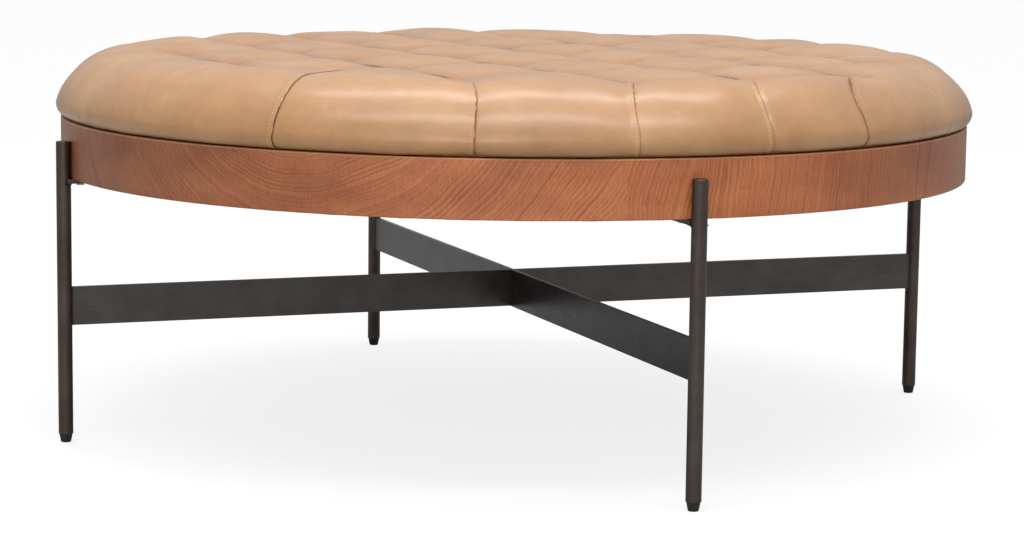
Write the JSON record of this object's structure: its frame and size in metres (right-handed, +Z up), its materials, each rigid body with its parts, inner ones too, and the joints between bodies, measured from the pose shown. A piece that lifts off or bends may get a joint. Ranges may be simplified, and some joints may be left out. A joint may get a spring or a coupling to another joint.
{
  "type": "tufted round ottoman",
  "caption": "Low round seat or table: deep tufted leather cushion on a wooden ring, held by tube legs on the ring's outside, with flat bars crossing below.",
  "frame": {"origin": "on the floor, in the middle of the ring", "axes": "+Z up, +X towards the right leg, +Y towards the back leg; the cross bars run along X and Y"},
  "size_m": [1.25, 1.25, 0.507],
  "materials": {
    "leather": "smooth, semi-gloss",
    "apron_wood": "reddish brown stain, satin lacquer",
    "frame_wood": "sawn, unfinished",
    "plywood": "sanded, unfinished",
    "dark_steel": "dark bronze, satin",
    "black_plastic": "matte",
    "screw_steel": "zinc plated",
    "staple_steel": "galvanised",
    "foam": "open cell foam",
    "wadding": "polyester wadding",
    "twine": "waxed twine",
    "dust_cloth": "thin black nonwoven"
  },
  "bodies": {
    "root": {"leg_right": "dark_steel", "leg_cap_right": "dark_steel", "foot_glide_right": "black_plastic", "mount_tab_right": "dark_steel", "apron_arc_right": "apron_wood", "leg_back": "dark_steel", "leg_cap_back": "dark_steel", "foot_glide_back": "black_plastic", "mount_tab_back": "dark_steel", "apron_arc_back": "apron_wood", "leg_left": "dark_steel", "leg_cap_left": "dark_steel", "foot_glide_left": "black_plastic", "mount_tab_left": "dark_steel", "apron_arc_left": "apron_wood", "leg_front": "dark_steel", "leg_cap_front": "dark_steel", "foot_glide_front": "black_plastic", "mount_tab_front": "dark_steel", "apron_arc_front": "apron_wood", "stretcher_left_right": "dark_steel", "stretcher_front_back": "dark_steel", "rail_left_right": "frame_wood", "rail_front_back": "frame_wood", "deck_cleat_1": "frame_wood", "deck_cleat_2": "frame_wood", "deck_cleat_3": "frame_wood", "deck_cleat_4": "frame_wood", "tab_screws": "screw_steel", "apron_tongues": "frame_wood", "rail_dowels": "frame_wood", "cleat_screws": "screw_steel", "deck_board": "plywood", "foam_pad": "foam", "batting": "wadding", "leather_cover": "leather", "tuft_twine": "twine", "tuft_anchors": "screw_steel", "cover_staples": "staple_steel", "dust_staples": "staple_steel", "dust_cover": "dust_cloth"}
  },
  "joints": []
}
